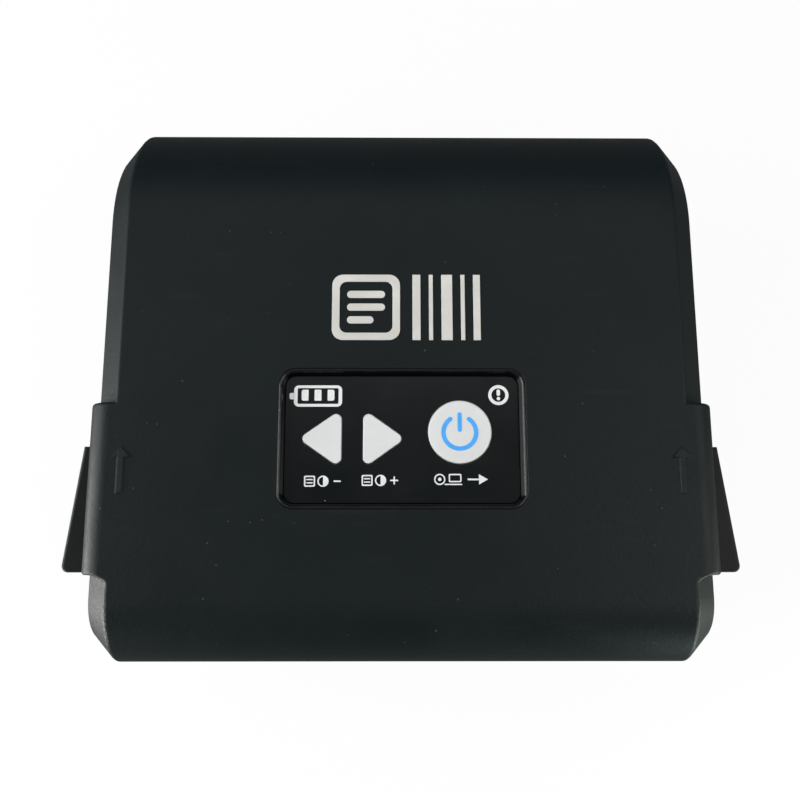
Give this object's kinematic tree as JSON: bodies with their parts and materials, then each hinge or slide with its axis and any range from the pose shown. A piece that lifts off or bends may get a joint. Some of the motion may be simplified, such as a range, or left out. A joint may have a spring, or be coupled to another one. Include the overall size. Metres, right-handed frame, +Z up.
{
  "type": "label printer",
  "caption": "Portable label printer: a cover with key panel and platen tips back over a roll bay and print head, held by a sprung latch with a thumb tab on each side.",
  "frame": {"origin": "under the middle of the case, on the surface that the feet stand on", "axes": "+X to the right, +Y to the back (hinge side), +Z up"},
  "size_m": [0.1384, 0.1174, 0.0643],
  "materials": {
    "case_black": "soft-touch matt",
    "tab_black": "fine satin",
    "panel_black": "polished",
    "key_white": "satin",
    "light_clear": "translucent",
    "inner_grey": "moulded",
    "gear_white": "moulded",
    "steel": "brushed",
    "zinc_steel": "bright",
    "inlay_silver": "satin",
    "heat_sink": "satin",
    "ceramic": "glazed",
    "brass": "satin",
    "rubber": "matt",
    "platen_rubber": "ground",
    "board_green": "lacquered",
    "chip_black": "moulded",
    "battery_wrap": "shrink film"
  },
  "bodies": {
    "base": {"base_shell": "case_black", "battery_door": "case_black", "battery_pack": "battery_wrap", "board_components": "chip_black", "board_screws": "zinc_steel", "charging_board": "board_green", "charging_socket": "steel", "chassis_screws": "zinc_steel", "door_screws": "zinc_steel", "feed_motor": "zinc_steel", "head_pivot_shaft": "steel", "head_springs": "steel", "hinge_pin": "steel", "idler_stud": "steel", "latch_springs": "steel", "main_board": "board_green", "mechanism_frame": "zinc_steel", "paper_sensor": "chip_black", "roll_bay": "inner_grey", "rubber_feet": "rubber", "tear_bar": "steel"},
    "lid": {"cover_shell": "case_black", "cover_liner": "inner_grey", "panel_bezel": "panel_black", "panel_plate": "panel_black", "key_board": "board_green", "key_switches": "chip_black", "indicator_lights": "light_clear", "light_guides": "light_clear", "liner_screws": "zinc_steel", "carrier_screws": "zinc_steel", "platen_carrier": "steel", "platen_bushes": "brass", "striker_pins": "steel", "sensor_lamp": "chip_black", "label_inlay": "inlay_silver", "bar_inlay": "inlay_silver"},
    "down_key": {"darkness_down_key": "key_white"},
    "up_key": {"darkness_up_key": "key_white"},
    "main_key": {"power_key": "key_white"},
    "platen": {"platen_sleeve": "platen_rubber", "platen_shaft": "steel", "platen_clip": "steel", "platen_gear": "gear_white"},
    "idler": {"idler_gear": "gear_white"},
    "rotor": {"motor_shaft": "steel", "motor_pinion": "brass"},
    "head": {"print_head_sink": "heat_sink", "print_head_strip": "ceramic"},
    "latch": {"latch_bar": "zinc_steel", "left_latch_arm": "tab_black", "right_latch_arm": "tab_black"},
    "right_guide": {"right_paper_guide": "inner_grey"},
    "left_guide": {"left_paper_guide": "inner_grey"},
    "pinion": {"guide_pinion": "gear_white"}
  },
  "joints": [
    {"name": "lid_hinge", "type": "hinge", "parent": "base", "child": "lid", "pos_m": [0, 0.0552, 0.0335], "axis": [-1, 0, 0], "range_deg": [0, 90]},
    {"name": "latch_slide", "type": "slide", "parent": "base", "child": "latch", "axis": [0, 1, 0], "range_m": [0, 0.004], "stiffness_N_per_m": 400, "springref_m": -0.003, "deforming": ["latch_springs"]},
    {"name": "darkness_down_press", "type": "slide", "parent": "lid", "child": "down_key", "axis": [0, 0, -1], "range_m": [0, 0.0005], "stiffness_N_per_m": 800, "springref_m": -0.0005},
    {"name": "darkness_up_press", "type": "slide", "parent": "lid", "child": "up_key", "axis": [0, 0, -1], "range_m": [0, 0.0005], "stiffness_N_per_m": 800, "springref_m": -0.0005},
    {"name": "power_press", "type": "slide", "parent": "lid", "child": "main_key", "axis": [0, 0, -1], "range_m": [0, 0.0005], "stiffness_N_per_m": 800, "springref_m": -0.0005},
    {"name": "platen_spin", "type": "hinge", "parent": "lid", "child": "platen", "pos_m": [0, -0.044, 0.0549], "axis": [1, 0, 0], "continuous": true},
    {"name": "idler_spin", "type": "hinge", "parent": "base", "child": "idler", "pos_m": [0, -0.03227, 0.04402], "axis": [1, 0, 0], "continuous": true},
    {"name": "motor_spin", "type": "hinge", "parent": "base", "child": "rotor", "pos_m": [0, -0.022, 0.0345], "axis": [1, 0, 0], "continuous": true},
    {"name": "head_tilt", "type": "hinge", "parent": "base", "child": "head", "pos_m": [0, -0.0352, 0.0464], "axis": [1, 0, 0], "range_deg": [0, 2], "stiffness_Nm_per_rad": 1, "springref_deg": -5.73, "deforming": ["head_springs"]},
    {"name": "right_guide_slide", "type": "slide", "parent": "base", "child": "right_guide", "axis": [-1, 0, 0], "range_m": [0, 0.021]},
    {"name": "left_guide_slide", "type": "slide", "parent": "base", "child": "left_guide", "axis": [1, 0, 0], "range_m": [0, 0.021]},
    {"name": "guide_pinion_spin", "type": "hinge", "parent": "base", "child": "pinion", "pos_m": [0, 0.0255, 0.004], "axis": [0, 0, -1], "range_deg": [0, 250.87]}
  ],
  "couplings": [
    {"joint": "idler_spin", "follows": "platen_spin", "ratio": -0.45455},
    {"joint": "motor_spin", "follows": "platen_spin", "ratio": 1.6667},
    {"joint": "left_guide_slide", "follows": "right_guide_slide", "ratio": 1},
    {"joint": "guide_pinion_spin", "follows": "right_guide_slide", "rad_per_m": 208.33}
  ]
}
